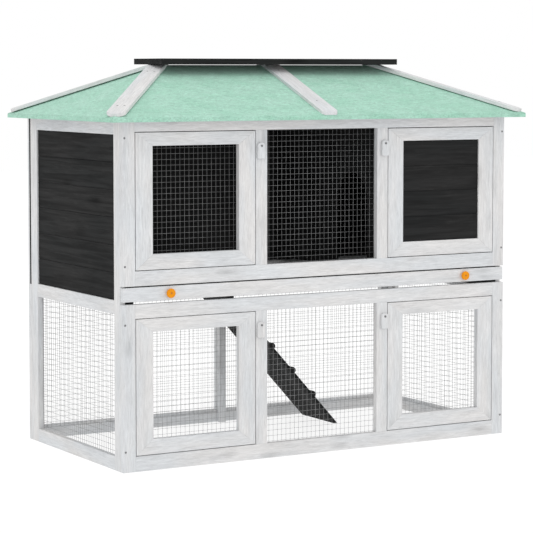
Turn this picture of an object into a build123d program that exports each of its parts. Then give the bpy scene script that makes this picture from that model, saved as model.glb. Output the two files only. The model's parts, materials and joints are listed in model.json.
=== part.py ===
from build123d import *
import math
import os

# Two-storey rabbit hutch: an open-bottomed mesh run below, a closed cabin and nest
# box above, and a hipped felt roof with a ridge board. Millimetres; +X to the right,
# +Y to the back, +Z up. The origin is on the floor under the middle of the roof.

# ---------------------------------------------------------------- driving dimensions
BODY_WIDTH = 1150.0  # over the two side frames
BODY_DEPTH = 569.0  # front face to rear face
BODY_TOP = 878.0  # top of the standing frames, just under the roof boards

ROOF_WIDTH = 1236.0
ROOF_DEPTH = 642.0
EAVE_FRONT = 39.0  # how far the eave stands in front of the body
EAVE_BOTTOM = 863.4
EAVE_TOP = 874.6
RIDGE_HEIGHT = 1003.0  # felt at the ridge
RIDGE_LENGTH = 658.0
FELT_THICK = 2.7
FELT_LIP = 2.0  # felt turned down over the edge of the boards
ROOF_DROP = EAVE_TOP - EAVE_BOTTOM  # felt and boards together, measured straight down

HALF_WIDTH = BODY_WIDTH / 2
FRONT = EAVE_FRONT - ROOF_DEPTH / 2  # y of the front face
HALF_RIDGE = RIDGE_LENGTH / 2
RISE = RIDGE_HEIGHT - EAVE_TOP
SLOPE_Y = RISE / (ROOF_DEPTH / 2)
SLOPE_X = RISE / (ROOF_WIDTH / 2 - HALF_RIDGE)

# front frames
FRONT_THICK = 15.0
STILE = 35.0  # outer uprights
MULLION_IN, MULLION_OUT = 166.0, 199.0  # distance of a mullion's edges from the middle
LOWER_RAILS = ((0.0, 38.0), (380.0, 415.0))
UPPER_RAILS = ((460.0, 497.0), (839.0, BODY_TOP))

# doors: mitred frames, flush with the front, 2 mm of play all round
DOOR_PLAY = 2.0
DOOR_STILE = 47.0
DOOR_RAIL_TOP = 33.0
DOOR_RAIL_BOTTOM = 38.0
PIN_RADIUS = 1.5
PIN_PLAY = 0.05
PIN_DEPTH = 12.0  # in the rail, and the same in the door
PIN_FROM_EDGE = 5.0
PIN_FROM_FACE = 4.0
DOORS = {
    "lower_left": (-1, LOWER_RAILS),
    "lower_right": (1, LOWER_RAILS),
    "upper_left": (-1, UPPER_RAILS),
    "upper_right": (1, UPPER_RAILS),
}
STOP_HEIGHT = 60.0

# turn buttons, hanging clear of the doors
LATCH_X = 187.0
LATCH_HEIGHTS = {"lower": 344.0, "upper": 799.0}
LATCH_WIDTH = 21.0
LATCH_TONGUE = 33.0
LATCH_HEEL = 8.0
LATCH_THICK = 8.5
LATCH_OFF_FACE = 0.5
LATCH_PLAY = 0.06

# welded mesh, drawn with every second wire, each as heavy as the two it stands for
MESH_PITCH_ACROSS = 25.4
MESH_PITCH_UP = 28.2
MESH_WIRE = 0.88

# side frames
SIDE_THICK = 14.0
SIDE_FRONT_STILE = (15.0, 47.0)  # from the front face
SIDE_REAR_STILE = (510.0, 551.0)
SIDE_RAILS = ((0.0, 35.0), (389.0, 423.0), (832.0, BODY_TOP))
PANEL_THICK = 8.0
PANEL_RECESS = 4.0
BOARD_CHAMFER = 1.2

# back
BACK_LOWER_Y = (551.0, BODY_DEPTH)
BACK_RAIL_Y = (539.0, 551.0)
BACK_RAIL_TOP = 450.0
BACK_PANEL_Y = (551.0, 560.0)
BACK_TRIM_Y = (560.0, BODY_DEPTH)
BACK_TRIM_RAIL = 35.0
BACK_SPLIT = 419.0
BACK_PANEL_TOP = 876.0
POST_WIDTH = 20.0
POST_FRONT = 536.0

# drawer
DRAWER_BOTTOM = 422.0
DRAWER_TOP = 456.5
TRAY_HALF = 558.0
TRAY_BACK = 530.0
TRAY_FLOOR = 6.0
RIM_THICK = 10.0
RIM_TOP = 434.0
NOTCH_X = (-150.0, 130.0)
NOTCH_FRONT = 352.0
KNOB_X = 445.0
KNOB_HEIGHT = 439.0
KNOB_RADIUS = 11.8
KNOB_LENGTH = 11.0
KNOB_HEAD = 7.5
KNOB_ROUNDING = 3.0

# ladder
LADDER_Y = (363.0, 535.0)
LADDER_FOOT = 260.0  # x of the underside at the floor
LADDER_TOP = 436.0
LADDER_ANGLE = math.radians(47.6)
LADDER_THICK = 9.0
CLEAT_FIRST = 110.0  # along the ladder from its foot
CLEAT_PITCH = 97.0
CLEAT_COUNT = 5

# battens and ridge
MID_BATTEN_HALF = 24.0
MID_BATTEN_THICK = 9.0
MID_BATTEN_CLIP = 7.0
MID_SCREWS = (70.0, 265.0)  # in from the eave
HIP_BATTEN_HALF = 23.5
HIP_BATTEN_TOP = 7.0  # above the hip line
HIP_BATTEN_BED = 3.0  # sunk over the hip line, where it is hollowed to fit
HIP_BATTEN_END = ((14.5, 7.0), (21.0, 16.0), (31.0, 23.5))  # from the eave's corner, half width
HIP_SCREWS = (78.0, 370.0)  # along the hip from the eave's corner
RIDGE_BOARD = (361.0, 80.0)  # half length, half depth
RIDGE_BOARD_BOTTOM = 1004.3  # it lies on the battens, just clear of the felt
RIDGE_BOARD_TOP = 1019.4

SCREW_RADIUS = 2.0
SCREW_PROUD = 0.3
BATTEN_SCREW = (1.8, 5.0)  # radius, length
BEARER_BOTTOM = 853.0


# ------------------------------------------------------------------------ helpers
def block(x, y, z):
    """A board between pairs of limits."""
    size = [high - low for low, high in (x, y, z)]
    middle = [(high + low) / 2 for low, high in (x, y, z)]
    return Pos(*middle) * Box(*size)


def deep(near, far):
    """Limits in y, given as distances behind the front face."""
    return FRONT + near, FRONT + far


def polygon_along_y(points, y):
    """A board whose outline is drawn in x and z."""
    outline = Wire.make_polygon([Vector(px, y[0], pz) for px, pz in points], close=True)
    return extrude(Face(outline), amount=y[1] - y[0], dir=(0, 1, 0))


def rod_along_y(x, z, radius, y):
    """A round bar along y."""
    return Pos(x, (y[0] + y[1]) / 2, z) * Rot(90, 0, 0) * Cylinder(radius, y[1] - y[0])


def rod_along_z(x, y, radius, z):
    """A round bar along z."""
    return Pos(x, y, (z[0] + z[1]) / 2) * Cylinder(radius, z[1] - z[0])


def cut(body, tools):
    """The body with every tool taken away."""
    for tool in tools:
        body = body - tool
    return body


def both_sides(solids):
    """The solids and their mirror images in the middle plane."""
    return list(solids) + [mirror(solid, about=Plane.YZ) for solid in solids]


def save(name, solids):
    """Writes one sub-part; the solids stay separate."""
    pieces = []
    for solid in solids:
        pieces.extend(solid.solids())
    shape = pieces[0] if len(pieces) == 1 else Compound(children=pieces)
    export_step(shape, f"parts/{name}.step")


def mesh_count(opening, pitch):
    """How many cells cover an opening and lap about 8 mm on to its frame."""
    return round((opening + 16) / pitch)


def mesh_sheet(columns, rows):
    """A flat sheet of square-wired mesh in the xy plane, its back on z = 0."""
    width = columns * MESH_PITCH_ACROSS
    height = rows * MESH_PITCH_UP
    holes = []
    for column in range(columns):
        for row in range(rows):
            place = Location((
                (column + 0.5) * MESH_PITCH_ACROSS - width / 2,
                (row + 0.5) * MESH_PITCH_UP - height / 2,
                0,
            ))
            cell = Wire.make_rect(MESH_PITCH_ACROSS - MESH_WIRE, MESH_PITCH_UP - MESH_WIRE)
            holes.append(cell.moved(place))
    rim = Wire.make_rect(width + MESH_WIRE, height + MESH_WIRE)
    return extrude(Face(rim, holes), amount=MESH_WIRE, dir=(0, 0, 1))


def mesh_facing_front(opening_x, opening_z, y):
    """Mesh behind an opening in a wall that faces the front; y is its front face."""
    columns = mesh_count(opening_x[1] - opening_x[0], MESH_PITCH_ACROSS)
    rows = mesh_count(opening_z[1] - opening_z[0], MESH_PITCH_UP)
    middle = (sum(opening_x) / 2, y + MESH_WIRE, sum(opening_z) / 2)
    return Pos(*middle) * Rot(90, 0, 0) * mesh_sheet(columns, rows)


def planks(count, bottom, top, face, thick):
    """Outlines, in depth and height, of boards stacked with a V between them."""
    pitch = (top - bottom) / count
    inward = math.copysign(BOARD_CHAMFER, thick)
    outlines = []
    for number in range(count):
        low = bottom + number * pitch
        high = low + pitch
        outlines.append([
            (face + inward, low),
            (face + thick, low),
            (face + thick, high),
            (face + inward, high),
            (face, high - BOARD_CHAMFER),
            (face, low + BOARD_CHAMFER),
        ])
    return outlines


def planks_facing_front(count, x, z, face, thick):
    """Stacked boards in a wall that faces the front (or the back, if thick < 0)."""
    boards = []
    for outline in planks(count, z[0], z[1], face, thick):
        wire = Wire.make_polygon([Vector(x[0], py, pz) for py, pz in outline], close=True)
        boards.append(extrude(Face(wire), amount=x[1] - x[0], dir=(1, 0, 0)))
    return boards


# ------------------------------------------------------------------ doors and front
def door_limits(side, rails):
    """The door's outline: x from hinge edge to free edge, and z."""
    hinge_edge = side * (HALF_WIDTH - STILE - DOOR_PLAY)
    free_edge = side * (MULLION_OUT + DOOR_PLAY)
    return hinge_edge, free_edge, rails[0][1] + DOOR_PLAY, rails[1][0] - DOOR_PLAY


def pin_place(side, rails):
    """x and y of a door's pivot line."""
    hinge_edge = door_limits(side, rails)[0]
    return hinge_edge - side * PIN_FROM_EDGE, FRONT + PIN_FROM_FACE


def pin_spans(rails):
    """The z limits of a door's lower and upper pin."""
    bottom, top = rails[0][1], rails[1][0]
    reach = DOOR_PLAY + PIN_DEPTH
    return (bottom - PIN_DEPTH, bottom + reach), (top - reach, top + PIN_DEPTH)


def pins(radius, names):
    """Pivot pins of the named doors, or the bores for them."""
    bars = []
    for name in names:
        side, rails = DOORS[name]
        x, y = pin_place(side, rails)
        for span in pin_spans(rails):
            bars.append(rod_along_z(x, y, radius, span))
    return bars


def door_opening(side, rails):
    """The clear opening in a door, as x and z limits."""
    hinge_edge, free_edge, bottom, top = door_limits(side, rails)
    edges = sorted((hinge_edge - side * DOOR_STILE, free_edge + side * DOOR_STILE))
    return edges, (bottom + DOOR_RAIL_BOTTOM, top - DOOR_RAIL_TOP)


def make_door(name):
    """Four mitred boards with bores for the pins, and what fills the opening."""
    side, rails = DOORS[name]
    hinge_edge, free_edge, bottom, top = door_limits(side, rails)
    x, z = door_opening(side, rails)
    left, right = sorted((hinge_edge, free_edge))
    outer = [(left, bottom), (right, bottom), (right, top), (left, top)]
    inner = [(x[0], z[0]), (x[1], z[0]), (x[1], z[1]), (x[0], z[1])]
    bores = pins(PIN_RADIUS + PIN_PLAY, [name])
    boards = []
    for corner in range(4):
        following = (corner + 1) % 4
        outline = [outer[corner], outer[following], inner[following], inner[corner]]
        boards.append(cut(polygon_along_y(outline, deep(0, FRONT_THICK)), bores))
    save(f"door_{name}_frame", boards)
    if name == "upper_right":
        face = FRONT + PANEL_RECESS
        save(f"door_{name}_panel", planks_facing_front(4, x, z, face, PANEL_THICK))
    else:
        save(f"door_{name}_mesh", [mesh_facing_front(x, z, FRONT + FRONT_THICK)])


def make_front():
    """The lower and upper front frames, their meshes, stops and pins."""
    front = deep(0, FRONT_THICK)
    screws = [
        rod_along_y(sx * (HALF_WIDTH - SIDE_THICK / 2), z, SCREW_RADIUS, deep(-SCREW_PROUD, 38))
        for sx in (-1, 1)
        for z in (51, 365, 509, 824)
    ]
    save("frame_screws", screws)
    latch_bores = [latch_screw_shank(side, z) for side in (-1, 1) for z in LATCH_HEIGHTS.values()]
    storeys = {"lower": LOWER_RAILS, "upper": UPPER_RAILS}
    for storey, rails in storeys.items():
        stile = block((HALF_WIDTH - STILE, HALF_WIDTH), front, (rails[0][0], rails[1][1]))
        save(f"front_{storey}_stiles", [cut(board, screws) for board in both_sides([stile])])
        inner = (STILE - HALF_WIDTH, HALF_WIDTH - STILE)
        bores = pins(PIN_RADIUS, [f"{storey}_left", f"{storey}_right"])
        save(f"front_{storey}_rails", [cut(block(inner, front, z), bores) for z in rails])
        gap = (rails[0][1], rails[1][0])
        mullion = block((MULLION_IN, MULLION_OUT), front, gap)
        save(f"front_{storey}_mullions", [cut(b, latch_bores) for b in both_sides([mullion])])
        window = (-MULLION_IN, MULLION_IN)
        save(f"window_{storey}_mesh", [mesh_facing_front(window, gap, FRONT + FRONT_THICK)])
    save("door_pivot_pins", pins(PIN_RADIUS, DOORS))
    stops = []
    for side, rails in DOORS.values():
        middle = (rails[0][1] + rails[1][0]) / 2
        x = sorted((side * (MULLION_OUT - 8), side * (MULLION_OUT + 10)))
        height = (middle - STOP_HEIGHT / 2, middle + STOP_HEIGHT / 2)
        stops.append(block(x, deep(FRONT_THICK, FRONT_THICK + 12), height))
    save("door_stops", stops)


# ----------------------------------------------------------------------- turn buttons
def latch_screw_shank(side, z):
    """The shank of a turn button's screw, from behind its head into the mullion."""
    return rod_along_y(side * LATCH_X, z, PIN_RADIUS, deep(-LATCH_OFF_FACE - LATCH_THICK - 0.1, 13))


def make_latches():
    """Four turn buttons, and the screws that they turn on."""
    half = LATCH_WIDTH / 2
    outline = [
        (-half, 3 - LATCH_TONGUE),
        (3 - half, -LATCH_TONGUE),
        (half - 3, -LATCH_TONGUE),
        (half, 3 - LATCH_TONGUE),
        (half, LATCH_HEEL - 7),
        (half - 2, LATCH_HEEL - 2.5),
        (half - 6, LATCH_HEEL),
        (6 - half, LATCH_HEEL),
        (2 - half, LATCH_HEEL - 2.5),
        (-half, LATCH_HEEL - 7),
    ]
    thickness = deep(-LATCH_OFF_FACE - LATCH_THICK, -LATCH_OFF_FACE)
    screws = []
    for storey, height in LATCH_HEIGHTS.items():
        for side, hand in ((-1, "left"), (1, "right")):
            x = side * LATCH_X
            button = polygon_along_y([(x + px, height + pz) for px, pz in outline], thickness)
            bore = rod_along_y(x, height, PIN_RADIUS + LATCH_PLAY, deep(-20, 0))
            save(f"latch_{storey}_{hand}", [button - bore])
            front = LATCH_OFF_FACE + LATCH_THICK + 0.1
            head = rod_along_y(x, height, 3.0, deep(-front - 1.5, -front))
            screws.append(head + latch_screw_shank(side, height))
    save("latch_screws", screws)


# ------------------------------------------------------------------------------ sides
def make_sides():
    """Two side frames: a plank wall above and mesh below."""
    x = (-HALF_WIDTH, SIDE_THICK - HALF_WIDTH)
    screws = [
        rod_along_y(SIDE_THICK / 2 - HALF_WIDTH, z, SCREW_RADIUS, deep(0, 38))
        for z in (51, 365, 509, 824)
    ]
    stiles = [
        cut(block(x, deep(*SIDE_FRONT_STILE), (0, BODY_TOP)), screws),
        block(x, deep(*SIDE_REAR_STILE), (0, BODY_TOP)),
    ]
    opening = deep(SIDE_FRONT_STILE[1], SIDE_REAR_STILE[0])
    rails = [block(x, opening, z) for z in SIDE_RAILS]
    face = PANEL_RECESS - HALF_WIDTH
    panel = []
    for outline in planks(6, SIDE_RAILS[1][1], SIDE_RAILS[2][0], face, PANEL_THICK):
        wire = Wire.make_polygon([Vector(px, opening[0], pz) for px, pz in outline], close=True)
        panel.append(extrude(Face(wire), amount=opening[1] - opening[0], dir=(0, 1, 0)))
    gap = (SIDE_RAILS[0][1], SIDE_RAILS[1][0])
    columns = mesh_count(opening[1] - opening[0], MESH_PITCH_ACROSS)
    rows = mesh_count(gap[1] - gap[0], MESH_PITCH_UP)
    sheet = Rot(0, 0, 90) * Rot(90, 0, 0) * mesh_sheet(columns, rows)
    mesh = Pos(x[1], sum(opening) / 2, sum(gap) / 2) * sheet
    for name, solids in {"stiles": stiles, "rails": rails, "panel": panel, "mesh": [mesh]}.items():
        save(f"side_left_{name}", solids)
        save(f"side_right_{name}", [mirror(solid, about=Plane.YZ) for solid in solids])


# ------------------------------------------------------------------------------- back
def make_back():
    """Lower frame with two meshes and a post; planks above, with a rail inside and trim outside."""
    inner = HALF_WIDTH - STILE
    lower = deep(*BACK_LOWER_Y)
    rails = ((0, 35), (389, BACK_SPLIT))
    frame = both_sides([block((inner, HALF_WIDTH), lower, (0, BACK_SPLIT))])
    frame += [block((-inner, inner), lower, z) for z in rails]
    save("back_lower_frame", frame)

    post_x = (-POST_WIDTH / 2, POST_WIDTH / 2)
    foot_to_head = block(post_x, deep(POST_FRONT, BACK_LOWER_Y[0]), (0, BACK_SPLIT))
    between_rails = block(post_x, lower, (rails[0][1], rails[1][0]))
    save("back_lower_post", [foot_to_head + between_rails])

    columns = 21
    rows = mesh_count(rails[1][0] - rails[0][1], MESH_PITCH_UP)
    middle_x = POST_WIDTH / 2 + 0.5 + (columns * MESH_PITCH_ACROSS + MESH_WIRE) / 2
    sheet = Rot(90, 0, 0) * mesh_sheet(columns, rows)
    placed = Pos(middle_x, lower[0], (rails[0][1] + rails[1][0]) / 2) * sheet
    save("back_lower_mesh", both_sides([placed]))

    wall = (-HALF_WIDTH, HALF_WIDTH)
    face, rear = BACK_PANEL_Y
    height = (BACK_SPLIT, BACK_PANEL_TOP)
    save("back_panel", planks_facing_front(6, wall, height, FRONT + rear, face - rear))

    between_sides = (SIDE_THICK - HALF_WIDTH, HALF_WIDTH - SIDE_THICK)
    rail = block(between_sides, deep(*BACK_RAIL_Y), (BACK_SPLIT, BACK_RAIL_TOP))
    save("back_upper_rail", [rail])

    outside = deep(*BACK_TRIM_Y)
    trim = both_sides([block((inner, HALF_WIDTH), outside, height)])
    trim.append(block((-inner, inner), outside, (BACK_SPLIT, BACK_SPLIT + BACK_TRIM_RAIL)))
    trim.append(block((-inner, inner), outside, (BACK_PANEL_TOP - BACK_TRIM_RAIL, BACK_PANEL_TOP)))
    save("back_upper_trim", trim)


# --------------------------------------------------------------------------- interior
def make_partition():
    """The wall between cabin and nest box, with an arched doorway."""
    x = (180, 190)
    wall = block(x, deep(FRONT_THICK, SIDE_REAR_STILE[1]), (461, BEARER_BOTTOM))
    doorway = (70, 230)
    radius = (doorway[1] - doorway[0]) / 2
    springing = 640
    below = block((170, 200), deep(*doorway), (400, springing))
    arch = Pos(185, FRONT + sum(doorway) / 2, springing) * Rot(0, 90, 0) * Cylinder(radius, 30)
    save("partition", [wall - below - arch])


def on_ladder(along, above):
    """x and z of a point on the ladder: along it from its foot, and above its underside."""
    c, s = math.cos(LADDER_ANGLE), math.sin(LADDER_ANGLE)
    return LADDER_FOOT - along * c + above * s, along * s + above * c


def make_ladder():
    """A plank with cross cleats, its foot on the floor, and the block at its head."""
    lean = 1 / math.tan(LADDER_ANGLE)
    step = LADDER_THICK / math.sin(LADDER_ANGLE)
    head = LADDER_FOOT - LADDER_TOP * lean
    outline = [
        (LADDER_FOOT, 0),
        (LADDER_FOOT + step, 0),
        (head + step, LADDER_TOP),
        (head, LADDER_TOP),
    ]
    across = deep(*LADDER_Y)
    save("ladder_plank", [polygon_along_y(outline, across)])
    nose = [(-9, 0), (-8, 5), (-3, 9), (4, 9), (9, 4), (10, 0)]
    cleats = []
    for number in range(CLEAT_COUNT):
        along = CLEAT_FIRST + number * CLEAT_PITCH
        points = [on_ladder(along + du, LADDER_THICK + dv) for du, dv in nose]
        cleats.append(polygon_along_y(points, across))
    save("ladder_cleats", cleats)
    save("ladder_block", [block((-125, -85), deep(LADDER_Y[1], SIDE_REAR_STILE[1]), (398, 419))])


# ----------------------------------------------------------------------------- drawer
def make_drawer():
    """Front, floor with a notch for the ladder, rims, and knobs on their screws."""
    knob_screws = []
    knobs = []
    for x in (-KNOB_X, KNOB_X):
        back_of_head = KNOB_HEAD - KNOB_LENGTH
        head = rod_along_y(x, KNOB_HEIGHT, KNOB_RADIUS, deep(-KNOB_LENGTH, back_of_head))
        head = fillet(head.edges().filter_by(GeomType.CIRCLE), KNOB_ROUNDING)
        shank = rod_along_y(x, KNOB_HEIGHT, 7.0, deep(back_of_head - 1, 0))
        screw = rod_along_y(x, KNOB_HEIGHT, SCREW_RADIUS, deep(-KNOB_LENGTH - 0.2, 12))
        knobs.append(head + shank - screw)
        knob_screws.append(screw)
    save("drawer_knobs", knobs)
    save("knob_screws", knob_screws)

    width = (2 - HALF_WIDTH, HALF_WIDTH - 2)
    front = block(width, deep(0, FRONT_THICK), (DRAWER_BOTTOM, DRAWER_TOP))
    save("drawer_front", [cut(front, knob_screws)])

    floor_z = (DRAWER_BOTTOM, DRAWER_BOTTOM + TRAY_FLOOR)
    floor = block((-TRAY_HALF, TRAY_HALF), deep(FRONT_THICK, TRAY_BACK), floor_z)
    notch = block(NOTCH_X, deep(NOTCH_FRONT, TRAY_BACK), floor_z)
    save("drawer_floor", [floor - notch])

    rim_z = (floor_z[1], RIM_TOP)
    inside = TRAY_HALF - RIM_THICK
    back_rim = TRAY_BACK - RIM_THICK
    left, right = NOTCH_X
    rims = both_sides([block((inside, TRAY_HALF), deep(FRONT_THICK, TRAY_BACK), rim_z)])
    rims.append(block((-inside, left), deep(back_rim, TRAY_BACK), rim_z))
    rims.append(block((right, inside), deep(back_rim, TRAY_BACK), rim_z))
    rims.append(block((left - RIM_THICK, left), deep(NOTCH_FRONT, back_rim), rim_z))
    rims.append(block((right, right + RIM_THICK), deep(NOTCH_FRONT, back_rim), rim_z))
    across = (left - RIM_THICK, right + RIM_THICK)
    rims.append(block(across, deep(NOTCH_FRONT - RIM_THICK, NOTCH_FRONT), rim_z))
    save("drawer_rims", rims)

    runner_x = (HALF_WIDTH - 38, HALF_WIDTH - SIDE_THICK)
    runner_y = deep(16, BACK_RAIL_Y[0])
    save("tray_runners", both_sides([block(runner_x, runner_y, (404, DRAWER_BOTTOM))]))


# ------------------------------------------------------------------------------- roof
def under_roof(half_x, half_y, drop, bottom):
    """Everything below the roof surface, lowered by drop, inside a plan rectangle."""
    ridge = RIDGE_HEIGHT - drop
    eave_y = ridge - SLOPE_Y * half_y
    eave_x = ridge - SLOPE_X * (half_x - HALF_RIDGE)
    gable = [(-half_y, bottom), (half_y, bottom), (half_y, eave_y), (0, ridge), (-half_y, eave_y)]
    wire = Wire.make_polygon([Vector(-half_x, py, pz) for py, pz in gable], close=True)
    lengthwise = extrude(Face(wire), amount=2 * half_x, dir=(1, 0, 0))
    hip = [
        (-half_x, bottom),
        (half_x, bottom),
        (half_x, eave_x),
        (HALF_RIDGE, ridge),
        (-HALF_RIDGE, ridge),
        (-half_x, eave_x),
    ]
    return lengthwise & polygon_along_y(hip, (-half_y, half_y))


def roof_sector(side):
    """The column of space over one of the four slopes."""
    x, y = ROOF_WIDTH / 2, ROOF_DEPTH / 2
    plans = {
        "front": [(-x, -y), (x, -y), (HALF_RIDGE, 0), (-HALF_RIDGE, 0)],
        "back": [(-x, y), (-HALF_RIDGE, 0), (HALF_RIDGE, 0), (x, y)],
        "left": [(-x, -y), (-HALF_RIDGE, 0), (-x, y)],
        "right": [(x, -y), (x, y), (HALF_RIDGE, 0)],
    }
    wire = Wire.make_polygon([Vector(px, py, 800) for px, py in plans[side]], close=True)
    return extrude(Face(wire), amount=300, dir=(0, 0, 1))


def make_roof():
    """Boards, felt, battens, ridge and the bearers that the roof stands on."""
    half_x, half_y = ROOF_WIDTH / 2, ROOF_DEPTH / 2
    skin = under_roof(half_x, half_y, 0, EAVE_BOTTOM)
    core = under_roof(half_x - FELT_LIP, half_y - FELT_LIP, FELT_THICK, 840)
    space = under_roof(half_x, half_y, ROOF_DROP, 830)
    sides = ("front", "back", "left", "right")
    felt = skin - core
    boards = core - space
    save("roof_boards", [boards & roof_sector(side) for side in sides])
    for side in sides:
        save(f"roof_felt_{side}", [felt & roof_sector(side)])

    board_x, board_y = RIDGE_BOARD
    limits = (RIDGE_BOARD_BOTTOM, RIDGE_BOARD_TOP)
    ridge_board = block((-board_x, board_x), (-board_y, board_y), limits)
    save("ridge_board", [ridge_board])
    make_battens(skin)

    bearers = []
    for y in (deep(FRONT_THICK, FRONT_THICK + 20), deep(531, SIDE_REAR_STILE[1])):
        inner = HALF_WIDTH - SIDE_THICK
        bearers.append(block((-inner, inner), y, (BEARER_BOTTOM, 920)) & space)
    save("roof_bearers", bearers)


def make_battens(skin):
    """Boards over the four hips and down the middle of the front and back slopes."""
    half_x, half_y = ROOF_WIDTH / 2, ROOF_DEPTH / 2
    eave_corner = Vector(-half_x, -half_y, EAVE_TOP)
    apex = Vector(-HALF_RIDGE, 0, RIDGE_HEIGHT)
    length = (apex - eave_corner).length
    hip_plane = Plane(
        origin=eave_corner,
        x_dir=apex - eave_corner,
        z_dir=(apex - eave_corner).cross(Vector(half_y, HALF_RIDGE - half_x, 0)) * -1,
    )
    half = HIP_BATTEN_HALF
    outline = [(along, -across) for along, across in HIP_BATTEN_END]
    outline += [(length + half, -half), (length + half, half)]
    outline += [(along, across) for along, across in reversed(HIP_BATTEN_END)]
    face = hip_plane * Pos(0, 0, -HIP_BATTEN_BED) * Polygon(*outline, align=None)
    normal = hip_plane.z_dir
    hip_batten = extrude(face, amount=HIP_BATTEN_BED + HIP_BATTEN_TOP, dir=normal)
    front_left = block((-700, 0), (-400, -0.5), (800, RIDGE_BOARD_BOTTOM))
    hip_batten = (hip_batten - skin) & front_left
    radius, long = BATTEN_SCREW
    screw = Pos(0, 0, SCREW_PROUD - long / 2) * Cylinder(radius, long)
    hip_screws = [
        hip_plane * Pos(along, q, HIP_BATTEN_TOP) * screw
        for along in HIP_SCREWS
        for q in (-9, 9)
    ]

    raised = under_roof(half_x, half_y, -MID_BATTEN_THICK, 860)
    half, clip, eave = MID_BATTEN_HALF, MID_BATTEN_CLIP, 1 - half_y
    plan = [
        (-half, 0),
        (-half, eave + clip),
        (clip - half, eave),
        (half - clip, eave),
        (half, eave + clip),
        (half, 0),
    ]
    wire = Wire.make_polygon([Vector(px, py, EAVE_BOTTOM) for px, py in plan], close=True)
    column = extrude(Face(wire), amount=RIDGE_BOARD_BOTTOM - EAVE_BOTTOM, dir=(0, 0, 1))
    mid_batten = (column & raised) - skin
    mid_screws = []
    for inset in MID_SCREWS:
        top = height_on_front(inset) + MID_BATTEN_THICK
        square_to_slope = Rot(math.degrees(math.atan(SLOPE_Y)), 0, 0)
        mid_screws.append(Pos(0, inset - half_y, top) * square_to_slope * screw)
    mid_batten = cut(mid_batten, mid_screws)
    hip_batten = cut(hip_batten, hip_screws)
    save("roof_hip_battens", both_sides(front_and_back([hip_batten])))
    save("roof_mid_battens", front_and_back([mid_batten]))
    save("batten_screws", both_sides(front_and_back(hip_screws)) + front_and_back(mid_screws))


def height_on_front(from_eave):
    """Height of the felt at a distance in from the front eave."""
    return EAVE_TOP + SLOPE_Y * from_eave


def front_and_back(solids):
    """The solids and their mirror images in the plane under the ridge."""
    return list(solids) + [mirror(solid, about=Plane.XZ) for solid in solids]


os.makedirs("parts", exist_ok=True)
make_front()
for door_name in DOORS:
    make_door(door_name)
make_latches()
make_sides()
make_back()
make_partition()
make_ladder()
make_drawer()
make_roof()
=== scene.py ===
import json
import math
import random

import bmesh
import bpy
from mathutils import Matrix, Vector


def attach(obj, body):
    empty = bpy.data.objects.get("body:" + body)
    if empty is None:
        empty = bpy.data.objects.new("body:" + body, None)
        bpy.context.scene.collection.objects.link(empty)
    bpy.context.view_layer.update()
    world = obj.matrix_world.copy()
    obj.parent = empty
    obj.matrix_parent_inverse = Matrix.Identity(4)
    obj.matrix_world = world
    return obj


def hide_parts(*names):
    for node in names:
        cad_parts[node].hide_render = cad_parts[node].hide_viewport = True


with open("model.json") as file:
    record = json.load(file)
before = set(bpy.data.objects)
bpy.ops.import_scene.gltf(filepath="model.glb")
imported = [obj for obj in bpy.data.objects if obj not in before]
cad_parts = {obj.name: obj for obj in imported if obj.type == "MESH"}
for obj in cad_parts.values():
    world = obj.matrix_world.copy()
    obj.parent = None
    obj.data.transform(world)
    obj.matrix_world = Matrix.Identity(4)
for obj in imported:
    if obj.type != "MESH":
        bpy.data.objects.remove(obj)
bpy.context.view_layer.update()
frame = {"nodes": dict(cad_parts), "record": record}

# Looks for the two-storey rabbit hutch. Each board, wire, screw head, knob and slope of
# felt is built from its CAD solid in the frame, and then eased, rounded and given grain.

# ------------------------------------------------------------------ dimensions, metres
MM = 0.001
MICRON = 1e-6
SHARP_ANGLE = math.radians(20)
FLAT_ANGLE = math.radians(0.6)

BOARD_EDGE = 0.5 * MM  # how far a sawn board's edges are eased
PLANK_EDGE = 0.4 * MM
LATCH_EDGE = 1.6 * MM
BATTEN_EDGE = 1.2 * MM
FELT_FOLD = 2.6 * MM  # radius where the felt turns down over the eave
FELT_EDGE = 0.4 * MM

WIRE_RADIUS = 0.35 * MM
WIRE_SIDES = 6
WIRE_LAP = 0.25 * MM  # how far crossing wires are welded into each other
CAD_MESH_WIRE = 0.88 * MM
CAD_MESH_PITCH = (25.4 * MM, 28.2 * MM)  # across, up; every second wire of the real mesh

SCREW_HEAD = 2.7 * MM
SCREW_DOME = 0.7 * MM
RECESS_WIDTH = 0.45 * MM
RECESS_REACH = 1.7 * MM
RECESS_DEPTH = 0.9 * MM
RECESS_RISE = 0.6  # how far the recess runs out towards its ends
HEAD_RINGS = 9
HEAD_SEGMENTS = 32
HEAD_SUNK = 2.0 * MM  # the hidden part below the rim of a head
BATTEN_SCREW_HEAD = 2.4 * MM
KNOB_SCREW_HEAD = 1.7 * MM
SCREW_PROUD = 0.3 * MM  # how far a CAD screw stands out of its board

KNOB_RIM = 3.0 * MM
KNOB_DISH = 2.6 * MM
KNOB_DISH_DEPTH = 1.6 * MM
KNOB_HEAD_LENGTH = 7.5 * MM
KNOB_FOOT = 7.0 * MM
KNOB_SEGMENTS = 48
KNOB_LIP = 0.7 * MM  # rounding of the dish's edge
KNOB_FILLET = 1.2 * MM  # where the foot meets the board
KNOB_SCREW_SUNK = 1.7 * MM

WIRE_BEND = 0.12 * MM
GRAIN_REACH = 40.0  # each board is cut from a random place within this of the origin
SAME_PLACE = 0.05 * MM
UP = Vector((0, 0, 1))

SLOT_OF = {part["node"]: part["material_slot"] for part in frame["record"]["subparts"]}
BODY_OF = {
    node: body
    for body, nodes in frame["record"]["behaviour"]["bodies"].items()
    for node in nodes
}
chance = random.Random(20)


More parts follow.
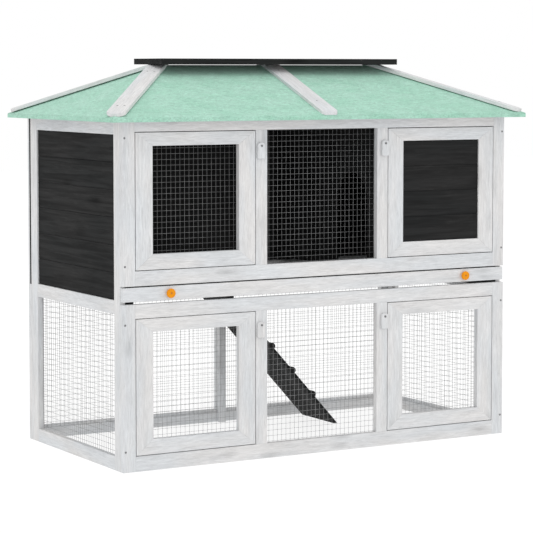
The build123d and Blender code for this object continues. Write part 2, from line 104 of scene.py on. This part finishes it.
# -------------------------------------------------------------------------- materials
class Recipe:
    """A material's nodes, with one short call for each kind that the recipes use."""

    def __init__(self, name):
        self.material = bpy.data.materials.new(name)
        self.material.use_nodes = True
        self.tree = self.material.node_tree
        self.tree.nodes.clear()
        output = self.add("ShaderNodeOutputMaterial")
        self.shader = self.add("ShaderNodeBsdfPrincipled")
        self.link(self.shader.outputs["BSDF"], output.inputs["Surface"])
        self.place = self.add("ShaderNodeAttribute", attribute_name="grain").outputs["Vector"]

    def add(self, kind, **settings):
        node = self.tree.nodes.new(kind)
        for name, value in settings.items():
            setattr(node, name, value)
        return node

    def link(self, source, target):
        self.tree.links.new(source, target)

    def feed(self, socket, value):
        """Links a socket to another node's output, or sets it to a constant."""
        if isinstance(value, bpy.types.NodeSocket):
            self.link(value, socket)
        else:
            socket.default_value = value

    def stretched(self, scale):
        """The board's own coordinates, in metres along the grain and across it, scaled."""
        mapping = self.add("ShaderNodeMapping")
        self.link(self.place, mapping.inputs["Vector"])
        mapping.inputs["Scale"].default_value = scale
        return mapping.outputs["Vector"]

    def noise(self, scale, detail=2.0, roughness=0.5, distortion=0.0):
        """Noise from 0 to 1, its mean 0.5; scale is in features per metre on each axis."""
        noise = self.add("ShaderNodeTexNoise")
        self.link(self.stretched(scale), noise.inputs["Vector"])
        noise.inputs["Scale"].default_value = 1.0
        noise.inputs["Detail"].default_value = detail
        noise.inputs["Roughness"].default_value = roughness
        noise.inputs["Distortion"].default_value = distortion
        return noise.outputs["Fac"]

    def cells(self, scale, feature="F1"):
        """Distance to the nearest cell point, and a random colour for each cell."""
        cells = self.add("ShaderNodeTexVoronoi", feature=feature)
        self.link(self.stretched(scale), cells.inputs["Vector"])
        cells.inputs["Scale"].default_value = 1.0
        return cells.outputs["Distance"], cells.outputs["Color"]

    def spread(self, value, low, high, to_low=0.0, to_high=1.0):
        """A value between low and high, mapped and clamped to another range."""
        spread = self.add("ShaderNodeMapRange")
        for name, number in (
            ("Value", value), ("From Min", low), ("From Max", high),
            ("To Min", to_low), ("To Max", to_high),
        ):
            self.feed(spread.inputs[name], number)
        return spread.outputs["Result"]

    def compute(self, operation, first, second):
        node = self.add("ShaderNodeMath", operation=operation)
        self.feed(node.inputs[0], first)
        self.feed(node.inputs[1], second)
        return node.outputs["Value"]

    def mix(self, factor, first, second, blend="MIX"):
        """Two colours mixed; a colour is an output or a triple of linear values."""
        node = self.add("ShaderNodeMix", data_type="RGBA", blend_type=blend)
        self.feed(node.inputs["Factor"], factor)
        for socket, colour in ((node.inputs["A"], first), (node.inputs["B"], second)):
            self.feed(socket, (*colour, 1.0) if isinstance(colour, tuple) else colour)
        return node.outputs["Result"]

    def shade(self, colour, amount):
        """A colour made lighter or darker by a number around 1."""
        node = self.add("ShaderNodeVectorMath", operation="SCALE")
        self.feed(node.inputs[0], colour)
        self.feed(node.inputs["Scale"], amount)
        return node.outputs["Vector"]

    def bump(self, height, distance, strength=1.0):
        node = self.add("ShaderNodeBump")
        self.feed(node.inputs["Height"], height)
        node.inputs["Distance"].default_value = distance
        node.inputs["Strength"].default_value = strength
        self.link(node.outputs["Normal"], self.shader.inputs["Normal"])

    def finish(self, colour, roughness, **sockets):
        self.feed(self.shader.inputs["Base Color"], colour)
        self.feed(self.shader.inputs["Roughness"], roughness)
        for name, value in sockets.items():
            self.shader.inputs[name.replace("_", " ")].default_value = value
        return self.material


def knots(recipe, scale, share, size):
    """1 in the heart of a knot, 0 outside; few of the cells hold one."""
    distance, colour = recipe.cells(scale)
    split = recipe.add("ShaderNodeSeparateColor")
    recipe.link(colour, split.inputs["Color"])
    chosen = recipe.compute("LESS_THAN", split.outputs["Red"], share)
    heart = recipe.spread(distance, size, 0.0)
    return recipe.compute("MULTIPLY", heart, chosen)


def whitewashed_wood(name, wear):
    """Thin white stain on spruce: the grain shows through as faint grey streaks."""
    recipe = Recipe(name)
    streaks = recipe.noise((18, 200, 200), 6.0, 0.78, 0.9)
    fibres = recipe.noise((40, 620, 620), 3.0, 0.7)
    clouds = recipe.noise((6, 26, 26), 3.0, 0.55)
    tint = recipe.noise((4, 17, 17), 2.0, 0.5)
    heart = knots(recipe, (9, 30, 30), 0.16, 0.36)

    warm_or_cool = recipe.spread(tint, 0.36, 0.64)
    colour = recipe.mix(warm_or_cool, (0.672, 0.690, 0.708), (0.718, 0.710, 0.706))
    tone = recipe.spread(streaks, 0.33, 0.64, 0.84, 1.07)
    tone = recipe.compute("MULTIPLY", tone, recipe.spread(fibres, 0.32, 0.68, 0.90, 1.06))
    tone = recipe.compute("MULTIPLY", tone, recipe.spread(clouds, 0.3, 0.7, 0.95, 1.04))
    tone = recipe.compute("MULTIPLY", tone, recipe.spread(heart, 0.0, 1.0, 1.0, 0.76))
    colour = recipe.shade(colour, tone)
    bare = recipe.spread(recipe.noise((16, 90, 90), 3.0, 0.6), 0.56, 0.72, 0.0, wear)
    colour = recipe.mix(bare, colour, (0.40, 0.385, 0.365))

    relief = recipe.compute("ADD", recipe.compute("MULTIPLY", streaks, 0.6), fibres)
    recipe.bump(relief, 0.35 * MM, 0.5)
    roughness = recipe.spread(streaks, 0.3, 0.7, 0.72, 0.58)
    return recipe.finish(colour, roughness, Specular_IOR_Level=0.3)


def black_stained_wood(name, wear):
    """Matt black stain: darker rings and a little grey where the stain is thin."""
    recipe = Recipe(name)
    rings = recipe.noise((3.5, 70, 70), 4.0, 0.6, 0.9)
    fibres = recipe.noise((18, 520, 520), 3.0, 0.6)
    clouds = recipe.noise((4, 12, 12), 2.0, 0.5)
    heart = knots(recipe, (6, 17, 17), 0.2, 0.3)

    colour = recipe.mix(
        recipe.spread(clouds, 0.35, 0.65), (0.0182, 0.0190, 0.0193), (0.0226, 0.0224, 0.0224)
    )
    tone = recipe.spread(rings, 0.34, 0.6, 0.72, 1.12)
    tone = recipe.compute("MULTIPLY", tone, recipe.spread(fibres, 0.3, 0.7, 0.84, 1.14))
    tone = recipe.compute("MULTIPLY", tone, recipe.spread(heart, 0.0, 1.0, 1.0, 0.45))
    colour = recipe.shade(colour, tone)
    bare = recipe.spread(recipe.noise((20, 110, 110), 3.0, 0.6), 0.58, 0.74, 0.0, wear)
    colour = recipe.mix(bare, colour, (0.060, 0.058, 0.056))

    relief = recipe.compute("ADD", recipe.compute("MULTIPLY", rings, 0.8), fibres)
    recipe.bump(relief, 0.4 * MM, 0.55)
    roughness = recipe.spread(rings, 0.35, 0.65, 0.78, 0.62)
    return recipe.finish(colour, roughness, Specular_IOR_Level=0.06)


def green_felt(name):
    """Mineral-faced roofing felt: fine grit, pale flecks and strokes from the rollers."""
    recipe = Recipe(name)
    strokes = recipe.noise((60, 150, 150), 5.0, 0.7, 1.2)
    patches = recipe.noise((16, 26, 26), 3.0, 0.55)
    grit = recipe.noise((420, 420, 420), 3.0, 0.75)
    flecks, _ = recipe.cells((260, 260, 260))

    colour = recipe.mix(
        recipe.spread(patches, 0.32, 0.68), (0.330, 0.590, 0.465), (0.388, 0.632, 0.520)
    )
    tone = recipe.spread(strokes, 0.34, 0.66, 0.82, 1.16)
    tone = recipe.compute("MULTIPLY", tone, recipe.spread(grit, 0.32, 0.68, 0.86, 1.12))
    colour = recipe.shade(colour, tone)
    pale = recipe.compute(
        "MULTIPLY", recipe.spread(flecks, 0.30, 0.12), recipe.spread(strokes, 0.5, 0.68)
    )
    colour = recipe.mix(recipe.compute("MULTIPLY", pale, 0.4), colour, (0.66, 0.85, 0.74))

    recipe.bump(recipe.compute("ADD", grit, strokes), 0.5 * MM, 0.6)
    roughness = recipe.spread(grit, 0.3, 0.7, 0.95, 0.8)
    return recipe.finish(
        colour, roughness, Specular_IOR_Level=0.2, Sheen_Weight=0.08, Sheen_Roughness=0.6
    )


def galvanised_mesh(name):
    """Zinc-coated wire, dulled, with faint spangle."""
    recipe = Recipe(name)
    dull = recipe.noise((60, 60, 60), 3.0, 0.6)
    spangle = recipe.noise((700, 700, 700), 2.0, 0.5)
    colour = recipe.mix(recipe.spread(dull, 0.35, 0.65), (0.225, 0.228, 0.231), (0.32, 0.322, 0.325))
    colour = recipe.shade(colour, recipe.spread(spangle, 0.3, 0.7, 0.9, 1.1))
    recipe.bump(spangle, 0.03 * MM, 0.4)
    return recipe.finish(colour, recipe.spread(dull, 0.3, 0.7, 0.5, 0.38), Metallic=0.55)


def steel_fixing(name):
    """Zinc-plated screw heads, with fine turning marks."""
    recipe = Recipe(name)
    smudge = recipe.noise((420, 420, 420), 3.0, 0.6)
    colour = recipe.mix(recipe.spread(smudge, 0.35, 0.65), (0.17, 0.17, 0.175), (0.27, 0.27, 0.272))
    recipe.bump(recipe.noise((2600, 2600, 2600), 2.0, 0.5), 0.02 * MM, 0.35)
    return recipe.finish(colour, recipe.spread(smudge, 0.3, 0.7, 0.5, 0.32), Metallic=0.85)


def orange_knob(name):
    """Satin moulded plastic, with a faint spark-eroded grain."""
    recipe = Recipe(name)
    cloud = recipe.noise((70, 70, 70), 2.0, 0.5)
    texture = recipe.noise((2400, 2400, 2400), 2.0, 0.6)
    colour = recipe.mix(recipe.spread(cloud, 0.35, 0.65), (0.76, 0.255, 0.001), (0.82, 0.300, 0.002))
    recipe.bump(texture, 0.04 * MM, 0.4)
    roughness = recipe.spread(texture, 0.3, 0.7, 0.42, 0.32)
    return recipe.finish(colour, roughness, Specular_IOR_Level=0.2)


# Each slot's finish, and the finish of its eased edges.
FINISHES = {
    "whitewashed_wood": (
        whitewashed_wood("whitewashed_wood", 0.12),
        whitewashed_wood("whitewashed_wood_edge", 0.55),
    ),
    "black_stained_wood": (
        black_stained_wood("black_stained_wood", 0.15),
        black_stained_wood("black_stained_wood_edge", 0.6),
    ),
    "green_felt": (green_felt("green_felt"),),
    "galvanised_mesh": (galvanised_mesh("galvanised_mesh"),),
    "steel_fixing": (steel_fixing("steel_fixing"),),
    "orange_knob": (orange_knob("orange_knob"),),
}


# --------------------------------------------------------------------- frame geometry
def solids(node):
    """The node's separate solids, each a list of triangles of corner points in microns."""
    mesh = frame["nodes"][node].data
    corners = [tuple(round(c / MICRON) for c in vertex.co) for vertex in mesh.vertices]
    found, faces, open_edges = [], [], set()
    for polygon in mesh.polygons:
        ring = [corners[i] for i in polygon.vertices]
        faces.append(ring)
        for start, end in zip(ring, ring[1:] + ring[:1]):
            if (end, start) in open_edges:
                open_edges.remove((end, start))
            else:
                open_edges.add((start, end))
        if not open_edges:
            found.append(faces)
            faces = []
    return found


def limits(solid):
    """Lowest and highest corner of a solid, in metres."""
    points = [Vector(point) * MICRON for face in solid for point in face]
    low = Vector([min(p[axis] for p in points) for axis in range(3)])
    high = Vector([max(p[axis] for p in points) for axis in range(3)])
    return low, high


def convex_board(solid):
    """The solid without its bores and hollows, as flat faces."""
    bm = bmesh.new()
    for point in sorted({point for face in solid for point in face}):
        bm.verts.new(Vector(point) * MICRON)
    bmesh.ops.convex_hull(bm, input=bm.verts)
    unused = [vertex for vertex in bm.verts if not vertex.link_faces]
    bmesh.ops.delete(bm, geom=unused, context="VERTS")
    return flattened(bm)


def shaped_board(solid):
    """The solid as it is, as flat faces."""
    bm = bmesh.new()
    made = {}
    for face in solid:
        for point in face:
            if point not in made:
                made[point] = bm.verts.new(Vector(point) * MICRON)
        bm.faces.new([made[point] for point in face])
    return flattened(bm)


def flattened(bm):
    """Triangles that lie in one plane joined to one face."""
    bmesh.ops.dissolve_limit(bm, angle_limit=FLAT_ANGLE, verts=bm.verts, edges=bm.edges)
    bmesh.ops.recalc_face_normals(bm, faces=bm.faces)
    return bm


def sharp_edges(bm):
    return [e for e in bm.edges if len(e.link_faces) == 2 and e.calc_face_angle() > SHARP_ANGLE]


def ease(bm, edges, width, segments=2, finish=1):
    """Rounds edges; the new faces are smooth and take the finish for worn edges."""
    made = bmesh.ops.bevel(
        bm, geom=edges, offset=width, offset_type="OFFSET", segments=segments,
        profile=0.5, affect="EDGES", clamp_overlap=True, material=finish,
    )
    for face in made["faces"]:
        face.smooth = True


def long_direction(bm):
    """The way the grain runs: along the board's longest edge."""
    edge = max(bm.edges, key=lambda e: round(e.calc_length(), 5))
    direction = (edge.verts[1].co - edge.verts[0].co).normalized()
    return direction if max(direction, key=abs) > 0 else -direction


def add_grain(mesh, along):
    """Stores the board's own coordinates, from a random place in a large plank."""
    helper = Vector((0, 0, 1)) if abs(along.z) < 0.9 else Vector((0, 1, 0))
    across = along.cross(helper).normalized()
    turn = Matrix((along, across, along.cross(across)))
    start = Vector([chance.uniform(-GRAIN_REACH, GRAIN_REACH) for _ in range(3)])
    places = [turn @ vertex.co + start for vertex in mesh.vertices]
    attribute = mesh.attributes.new("grain", "FLOAT_VECTOR", "POINT")
    attribute.data.foreach_set("vector", [c for place in places for c in place])


def piece(name, bm, node, along=None):
    """A finished piece that stands for a CAD node and takes its finish and its body."""
    along = along or long_direction(bm)
    mesh = bpy.data.meshes.new(name)
    bm.to_mesh(mesh)
    bm.free()
    add_grain(mesh, along)
    for material in FINISHES[SLOT_OF[node]]:
        mesh.materials.append(material)
    made = bpy.data.objects.new(name, mesh)
    bpy.context.scene.collection.objects.link(made)
    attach(made, BODY_OF[node])
    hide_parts(node)
    return made


def boards(node, width=BOARD_EDGE, shape=convex_board, segments=2):
    """One eased board for each solid of a node."""
    for number, solid in enumerate(solids(node), 1):
        bm = shape(solid)
        along = long_direction(bm)
        ease(bm, sharp_edges(bm), width, segments)
        piece(f"{node}_{number}", bm, node, along)


# ------------------------------------------------------------------------ welded mesh
def add_wire(bm, start, end, radius=WIRE_RADIUS):
    """A straight round wire with closed ends."""
    turn = (end - start).to_track_quat("Z", "Y").to_matrix()
    rings = []
    for centre in (start, end):
        ring = []
        for side in range(WIRE_SIDES):
            angle = math.tau * side / WIRE_SIDES
            point = Vector((math.cos(angle), math.sin(angle), 0)) * radius
            ring.append(bm.verts.new(centre + turn @ point))
        rings.append(ring)
    for side in range(WIRE_SIDES):
        following = (side + 1) % WIRE_SIDES
        wall = bm.faces.new((
            rings[0][side], rings[0][following], rings[1][following], rings[1][side],
        ))
        wall.smooth = True
    bm.faces.new(list(reversed(rings[0])))
    bm.faces.new(rings[1])


def welded_mesh(node):
    """Round wires at the real pitch, half that of the CAD sheet; uprights in front."""
    for number, solid in enumerate(solids(node), 1):
        low, high = limits(solid)
        size = high - low
        normal = min(range(3), key=lambda axis: size[axis])
        across = 1 - normal
        middle = (low[normal] + high[normal]) / 2
        towards_inside = -1 if middle > 0 else 1
        outside = high[normal] if towards_inside < 0 else low[normal]
        bm = bmesh.new()
        counts = []
        for axis, pitch in ((across, CAD_MESH_PITCH[0]), (2, CAD_MESH_PITCH[1])):
            span = size[axis] - CAD_MESH_WIRE
            cells = 2 * round(span / pitch)
            counts.append((axis, cells, span / cells))
        for order, (axis, cells, pitch) in enumerate(counts):
            other = counts[1 - order][0]
            behind = WIRE_RADIUS + order * (2 * WIRE_RADIUS - WIRE_LAP)
            level = outside + towards_inside * behind
            for step in range(cells + 1):
                start, end = Vector((0, 0, 0)), Vector((0, 0, 0))
                start[normal] = end[normal] = level
                start[axis] = end[axis] = low[axis] + CAD_MESH_WIRE / 2 + step * pitch
                start[other], end[other] = low[other], high[other]
                bend = chance.uniform(-1, 1) * WIRE_BEND
                start[axis] += bend
                end[axis] -= bend
                add_wire(bm, start, end)
        piece(f"{node}_{number}", bm, node, UP)


# --------------------------------------------------------------------------- fixings
def add_screw_head(bm, centre, outward, radius=SCREW_HEAD, dome=SCREW_DOME):
    """A domed head with a cross recess, closed underneath."""
    turn = outward.to_track_quat("Z", "Y").to_matrix()
    top = bm.verts.new(centre + turn @ Vector((0, 0, dome - RECESS_DEPTH)))
    last = None
    for ring in range(1, HEAD_RINGS + 1):
        reach = radius * ring / HEAD_RINGS
        row = []
        for segment in range(HEAD_SEGMENTS):
            angle = math.tau * segment / HEAD_SEGMENTS
            x, y = reach * math.cos(angle), reach * math.sin(angle)
            height = dome * (1 - (reach / radius) ** 2)
            narrow = min(abs(x), abs(y))
            if reach < RECESS_REACH and narrow < RECESS_WIDTH:
                height -= RECESS_DEPTH * (1 - RECESS_RISE * reach / RECESS_REACH)
            row.append(bm.verts.new(centre + turn @ Vector((x, y, height))))
        for segment in range(HEAD_SEGMENTS):
            following = (segment + 1) % HEAD_SEGMENTS
            if last is None:
                face = bm.faces.new((top, row[segment], row[following]))
            else:
                face = bm.faces.new((last[segment], row[segment], row[following], last[following]))
            face.smooth = True
        last = row
    under = [bm.verts.new(v.co - outward * HEAD_SUNK) for v in last]
    for segment in range(HEAD_SEGMENTS):
        following = (segment + 1) % HEAD_SEGMENTS
        bm.faces.new((last[segment], under[segment], under[following], last[following]))
    bm.faces.new(list(reversed(under)))


def screws(node, place_of, radius=SCREW_HEAD):
    """Screw heads where the CAD node has its screws."""
    bm = bmesh.new()
    for solid in solids(node):
        centre, outward = place_of(solid)
        add_screw_head(bm, centre, outward, radius)
    piece(f"{node}_heads", bm, node, UP)


def facing_front(solid, sunk=0.0):
    """A screw in a front face: where its head sits, and the way it faces."""
    low, high = limits(solid)
    middle = (low + high) / 2
    return Vector((middle.x, low.y + sunk, middle.z)), Vector((0, -1, 0))


def facing_up(solid):
    """A screw in a slope: where its head sits, and the way its upper end faces."""
    low, high = limits(solid)
    middle = (low + high) / 2
    points = [Vector(point) * MICRON for point in sorted({p for face in solid for p in face})]
    upper = [point for point in points if point.z > middle.z]
    end = sum(upper, Vector()) / len(upper)
    outward = (end - middle).normalized()
    return end - outward * SCREW_PROUD, outward


def turned(profile, segments):
    """A closed solid of revolution about z from (radius, height) points, top to bottom."""
    bm = bmesh.new()
    rings = []
    for radius, height in profile:
        if radius == 0:
            rings.append([bm.verts.new((0, 0, height))])
            continue
        ring = []
        for segment in range(segments):
            angle = math.tau * segment / segments
            ring.append(bm.verts.new((radius * math.cos(angle), radius * math.sin(angle), height)))
        rings.append(ring)
    for upper, lower in zip(rings, rings[1:]):
        for segment in range(segments):
            following = (segment + 1) % segments
            if len(upper) == 1:
                corners = (upper[0], lower[segment], lower[following])
            elif len(lower) == 1:
                corners = (upper[segment], lower[0], upper[following])
            else:
                corners = (upper[segment], lower[segment], lower[following], upper[following])
            face = bm.faces.new(corners)
            face.smooth = True
    return bm


def arc(centre, radius, start, end, steps):
    """Points of an arc in a profile, its angles in degrees from the radius axis."""
    points = []
    for step in range(steps + 1):
        angle = math.radians(start + (end - start) * step / steps)
        points.append((centre[0] + radius * math.cos(angle), centre[1] + radius * math.sin(angle)))
    return points


# ------------------------------------------------------------------------------ parts
def make_knobs():
    """Turned knobs: a flat face with a dish for the screw, a full rim and a short foot."""
    for number, solid in enumerate(solids("drawer_knobs"), 1):
        low, high = limits(solid)
        radius = (high.x - low.x) / 2
        length = high.y - low.y
        middle = (low + high) / 2
        edge = radius - KNOB_RIM
        bottom = length - KNOB_DISH_DEPTH
        back = length - KNOB_HEAD_LENGTH
        profile = [(0, bottom), (KNOB_DISH - 0.8 * MM, bottom)]
        profile += arc((KNOB_DISH + KNOB_LIP, length - KNOB_LIP), KNOB_LIP, 180, 90, 4)
        profile += arc((edge, length - KNOB_RIM), KNOB_RIM, 90, 0, 8)
        profile += arc((edge, back + KNOB_RIM), KNOB_RIM, 0, -90, 8)
        profile += arc((KNOB_FOOT + KNOB_FILLET, 1.6 * MM), KNOB_FILLET, 90, 180, 4)
        profile += [(KNOB_FOOT, 0), (0, 0)]
        bm = turned(profile, KNOB_SEGMENTS)
        place = Matrix.Translation(Vector((middle.x, high.y, middle.z)))
        bm.transform(place @ Matrix.Rotation(math.radians(90), 4, "X"))
        bmesh.ops.recalc_face_normals(bm, faces=bm.faces)
        piece(f"drawer_knobs_{number}", bm, "drawer_knobs", Vector((1, 0, 0)))


def make_knob_screws():
    """Small screw heads sunk in the dishes of the knobs."""
    screws("knob_screws", lambda solid: facing_front(solid, KNOB_SCREW_SUNK), KNOB_SCREW_HEAD)


def make_pins():
    """The nails that the doors turn on, with a rounded end."""
    bm = bmesh.new()
    for solid in solids("door_pivot_pins"):
        low, high = limits(solid)
        middle = (low + high) / 2
        radius = (high.x - low.x) / 2
        half = (high.z - low.z) / 2
        round_end = radius / 2
        profile = [(0, half)] + arc((round_end, half - round_end), round_end, 90, 0, 4)
        profile += [(radius, round_end - half), (round_end, -half), (0, -half)]
        pin = turned(profile, 16)
        pin.transform(Matrix.Translation(middle))
        mesh = bpy.data.meshes.new("pin")
        pin.to_mesh(mesh)
        pin.free()
        bm.from_mesh(mesh)
        bpy.data.meshes.remove(mesh)
    bmesh.ops.recalc_face_normals(bm, faces=bm.faces)
    piece("door_pivot_nails", bm, "door_pivot_pins", UP)


def make_felt(side, axis):
    """One slope of felt, folded over the eave with a soft bend."""
    node = f"roof_felt_{side}"
    bm = shaped_board(solids(node)[0])
    reach = max(abs(v.co[axis]) for v in bm.verts)
    at_eave = [v for v in bm.verts if abs(abs(v.co[axis]) - reach) < SAME_PLACE]
    top = max(v.co.z for v in at_eave)
    fold = [
        edge for edge in bm.edges
        if all(v in at_eave and abs(v.co.z - top) < SAME_PLACE for v in edge.verts)
    ]
    ease(bm, fold, FELT_FOLD, 5, 0)
    ease(bm, sharp_edges(bm), FELT_EDGE, 1, 0)
    along = Vector((1, 0, 0)) if axis == 1 else Vector((0, 1, 0))
    piece(f"{node}_sheet", bm, node, along)


def make_wood():
    """Every board of the frames, doors, walls, tray, ladder and roof."""
    framing = (
        "front_lower_stiles", "front_lower_rails", "front_lower_mullions",
        "front_upper_stiles", "front_upper_rails", "front_upper_mullions",
        "door_lower_left_frame", "door_lower_right_frame",
        "door_upper_left_frame", "door_upper_right_frame",
        "side_left_stiles", "side_left_rails", "side_right_stiles", "side_right_rails",
        "back_lower_frame", "back_upper_rail", "back_upper_trim", "door_stops", "drawer_front",
        "drawer_rims", "tray_runners", "roof_bearers", "roof_boards", "ladder_plank",
        "ladder_block", "ridge_board",
    )
    for node in framing:
        boards(node)
    for node in ("door_upper_right_panel", "side_left_panel", "side_right_panel", "back_panel"):
        boards(node, PLANK_EDGE)
    for node in ("back_lower_post", "partition", "drawer_floor"):
        boards(node, BOARD_EDGE, shaped_board)
    for node in ("roof_hip_battens", "roof_mid_battens", "ladder_cleats"):
        boards(node, BATTEN_EDGE)
    for node in ("latch_lower_left", "latch_lower_right", "latch_upper_left", "latch_upper_right"):
        boards(node, LATCH_EDGE, segments=3)


def make_wire():
    """Every sheet of mesh."""
    for node in sorted(SLOT_OF):
        if SLOT_OF[node] == "galvanised_mesh":
            welded_mesh(node)


# ------------------------------------------------------------------- studio and camera
def make_studio():
    """A pale floor, even white surroundings and two large soft lamps."""
    half_size = 14.0
    bm = bmesh.new()
    bmesh.ops.create_grid(bm, x_segments=1, y_segments=1, size=half_size)
    mesh = bpy.data.meshes.new("floor")
    bm.to_mesh(mesh)
    bm.free()
    floor = bpy.data.objects.new("floor", mesh)
    bpy.context.scene.collection.objects.link(floor)
    paint = bpy.data.materials.new("studio_floor")
    paint.use_nodes = True
    shader = paint.node_tree.nodes["Principled BSDF"]
    shader.inputs["Base Color"].default_value = (0.16, 0.16, 0.16, 1)
    shader.inputs["Roughness"].default_value = 0.9
    shader.inputs["Emission Color"].default_value = (1, 1, 1, 1)
    shader.inputs["Emission Strength"].default_value = 0.86
    mesh.materials.append(paint)

    world = bpy.data.worlds.new("studio")
    world.use_nodes = True
    world.node_tree.nodes["Background"].inputs["Color"].default_value = (1, 1, 1, 1)
    world.node_tree.nodes["Background"].inputs["Strength"].default_value = 1.0
    bpy.context.scene.world = world

    for name, place, energy, size in (
        ("top", (-0.6, -1.0, 4.0), 12, 2.2),
        ("front", (-3.0, -4.4, 2.6), 18, 3.0),
    ):
        lamp = bpy.data.lights.new(name, "AREA")
        lamp.energy = energy
        lamp.size = size
        holder = bpy.data.objects.new(name, lamp)
        bpy.context.scene.collection.objects.link(holder)
        holder.location = place
        aim = Vector((0, 0, 0.5)) - Vector(place)
        holder.rotation_euler = aim.to_track_quat("-Z", "Y").to_euler()
    bpy.context.scene.view_settings.view_transform = "Standard"


def make_camera():
    """Left of the front, at eye level with the roof, with a long lens."""
    lens = bpy.data.cameras.new("camera")
    lens.sensor_width = 36.0
    lens.lens = 141.2
    lens.shift_y = -0.1
    camera = bpy.data.objects.new("camera", lens)
    bpy.context.scene.collection.objects.link(camera)
    camera.location = (-2.8179, -4.8588, 0.9895)
    down, turn = 3.916, 30.068
    camera.rotation_euler = (math.radians(90 - down), 0, math.radians(-turn))
    bpy.context.scene.camera = camera


make_wood()
make_wire()
for felt_side, felt_axis in (("front", 1), ("back", 1), ("left", 0), ("right", 0)):
    make_felt(felt_side, felt_axis)
screws("frame_screws", facing_front)
screws("latch_screws", facing_front)
make_knobs()
make_knob_screws()
screws("batten_screws", facing_up, BATTEN_SCREW_HEAD)
make_pins()
make_studio()
make_camera()
